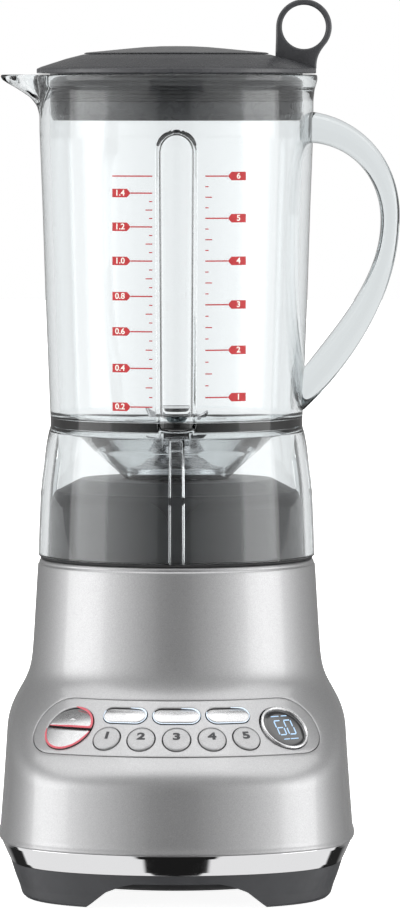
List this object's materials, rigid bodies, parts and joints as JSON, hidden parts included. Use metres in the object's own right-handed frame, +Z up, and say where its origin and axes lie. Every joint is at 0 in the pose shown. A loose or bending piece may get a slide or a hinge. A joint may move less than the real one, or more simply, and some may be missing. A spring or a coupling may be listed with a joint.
{
  "type": "countertop blender",
  "caption": "Countertop blender: silver motor base with a sloped button panel, clear lift-off jug with handle and spout, driven blade unit, lid and measuring cap.",
  "frame": {"origin": "on the motor axis at the level of the surface the feet stand on", "axes": "+Z up along the motor axis, -Y towards the control panel, +X towards the jug's handle, -X towards its spout"},
  "size_m": [0.1993, 0.224, 0.444],
  "materials": {
    "silver_paint": "satin silver metallic",
    "bright_chrome": "polished",
    "dark_plastic": "fine matte",
    "black_plastic": "matte",
    "black_rubber": "matte",
    "clear_plastic": "clear and glossy",
    "smoke_plastic": "slightly translucent",
    "button_plastic": "satin silver-grey",
    "lens_plastic": "glossy black",
    "steel": "bright",
    "lamination_steel": "stacked laminations",
    "die_cast": "as cast",
    "copper": "enamelled copper",
    "bronze": "sintered bronze",
    "circuit_board": "green lacquer",
    "carbon": "matt carbon"
  },
  "bodies": {
    "base": {"body_shell": "silver_paint", "trim_ring": "bright_chrome", "base_pan": "dark_plastic", "bottom_cover": "black_plastic", "rubber_feet": "black_rubber", "base_screws": "steel", "jug_seat": "dark_plastic", "seat_gasket": "black_rubber", "seat_screws": "steel", "interlock_switch": "black_plastic", "control_panel": "silver_paint", "display_bezel": "bright_chrome", "display_lens": "lens_plastic", "display_module": "black_plastic", "control_board": "circuit_board", "button_switches": "black_plastic", "power_board": "circuit_board", "cord_gland": "black_rubber", "fan_shroud": "dark_plastic", "motor_frame_top": "die_cast", "motor_frame_bottom": "die_cast", "through_bolts": "steel", "motor_mounts": "black_rubber", "motor_screws": "steel", "stator_core": "lamination_steel", "field_coils": "copper", "motor_bearings": "steel", "brush_holders": "bronze", "carbon_brushes": "carbon", "brush_springs": "steel"},
    "rotor": {"motor_shaft": "steel", "armature_core": "lamination_steel", "armature_windings": "copper", "commutator": "copper", "cooling_fan": "dark_plastic", "drive_coupling": "dark_plastic"},
    "jug": {"jug": "clear_plastic", "blade_housing": "steel", "housing_seal": "black_rubber", "retaining_nut": "dark_plastic", "spindle_bushes": "bronze", "spindle_seal": "black_rubber"},
    "blade_unit": {"blade_spindle": "steel", "lower_blades": "steel", "upper_blades": "steel", "blade_nut": "steel", "driven_coupling": "dark_plastic"},
    "lid": {"lid_cover": "dark_plastic", "lid_seal": "black_rubber"},
    "cap": {"measuring_cap": "smoke_plastic"},
    "button_power_key": {"button_power": "button_plastic"},
    "button_clean_key": {"button_clean": "button_plastic"},
    "button_left_key": {"button_left": "button_plastic"},
    "button_middle_key": {"button_middle": "button_plastic"},
    "button_right_key": {"button_right": "button_plastic"},
    "button_1_key": {"button_1": "button_plastic"},
    "button_2_key": {"button_2": "button_plastic"},
    "button_3_key": {"button_3": "button_plastic"},
    "button_4_key": {"button_4": "button_plastic"},
    "button_5_key": {"button_5": "button_plastic"}
  },
  "joints": [
    {"name": "rotor_spin", "type": "hinge", "parent": "base", "child": "rotor", "pos_m": [0, 0, 0.1], "axis": [0, 0, 1], "continuous": true},
    {"name": "jug_lift", "type": "slide", "parent": "base", "child": "jug", "axis": [0, 0, 1], "range_m": [0, 0.06]},
    {"name": "blade_spin", "type": "hinge", "parent": "jug", "child": "blade_unit", "pos_m": [0, 0, 0.21], "axis": [0, 0, 1], "continuous": true},
    {"name": "lid_lift", "type": "slide", "parent": "jug", "child": "lid", "axis": [0, 0, 1], "range_m": [0, 0.04]},
    {"name": "cap_lift", "type": "slide", "parent": "lid", "child": "cap", "axis": [0, 0, 1], "range_m": [0, 0.04]},
    {"name": "button_power_press", "type": "slide", "parent": "base", "child": "button_power_key", "axis": [0.4247, 0.5954, -0.682], "range_m": [0, 0.0012], "stiffness_N_per_m": 400},
    {"name": "button_clean_press", "type": "slide", "parent": "base", "child": "button_clean_key", "axis": [0.4247, 0.5954, -0.682], "range_m": [0, 0.0012], "stiffness_N_per_m": 400},
    {"name": "button_left_press", "type": "slide", "parent": "base", "child": "button_left_key", "axis": [0.2175, 0.6983, -0.682], "range_m": [0, 0.0012], "stiffness_N_per_m": 400},
    {"name": "button_middle_press", "type": "slide", "parent": "base", "child": "button_middle_key", "axis": [0, 0.7314, -0.682], "range_m": [0, 0.0012], "stiffness_N_per_m": 400},
    {"name": "button_right_press", "type": "slide", "parent": "base", "child": "button_right_key", "axis": [-0.2175, 0.6983, -0.682], "range_m": [0, 0.0012], "stiffness_N_per_m": 400},
    {"name": "button_1_press", "type": "slide", "parent": "base", "child": "button_1_key", "axis": [0.2645, 0.6819, -0.682], "range_m": [0, 0.0012], "stiffness_N_per_m": 400},
    {"name": "button_2_press", "type": "slide", "parent": "base", "child": "button_2_key", "axis": [0.1345, 0.7189, -0.682], "range_m": [0, 0.0012], "stiffness_N_per_m": 400},
    {"name": "button_3_press", "type": "slide", "parent": "base", "child": "button_3_key", "axis": [0, 0.7314, -0.682], "range_m": [0, 0.0012], "stiffness_N_per_m": 400},
    {"name": "button_4_press", "type": "slide", "parent": "base", "child": "button_4_key", "axis": [-0.1345, 0.7189, -0.682], "range_m": [0, 0.0012], "stiffness_N_per_m": 400},
    {"name": "button_5_press", "type": "slide", "parent": "base", "child": "button_5_key", "axis": [-0.2645, 0.6819, -0.682], "range_m": [0, 0.0012], "stiffness_N_per_m": 400}
  ],
  "couplings": [
    {"joint": "blade_spin", "follows": "rotor_spin", "ratio": 1}
  ]
}
